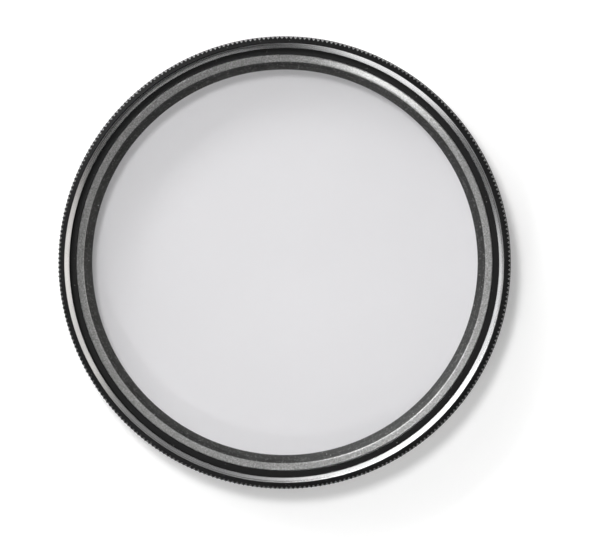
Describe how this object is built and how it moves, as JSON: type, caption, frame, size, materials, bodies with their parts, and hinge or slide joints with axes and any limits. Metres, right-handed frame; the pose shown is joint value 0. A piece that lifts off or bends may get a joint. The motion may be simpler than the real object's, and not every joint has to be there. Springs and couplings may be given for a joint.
{
  "type": "screw-in lens filter",
  "caption": "Round screw-in camera lens filter: knurled black ring with a male thread behind and a female thread in front, holding a clear glass disc under a retaining ring.",
  "frame": {"origin": "centre of the rear end face of the male thread", "axes": "+Z along the optical axis, from the lens side to the front; X and Y are alike"},
  "size_m": [0.054, 0.054, 0.0076],
  "materials": {
    "black_anodised": "black anodised, satin, with a polished front bevel",
    "clear_glass": "clear, polished, coated",
    "matte_ring": "dark grey, bead blasted"
  },
  "bodies": {
    "root": {"frame": "black_anodised", "glass": "clear_glass", "retaining_ring": "matte_ring"}
  },
  "joints": []
}
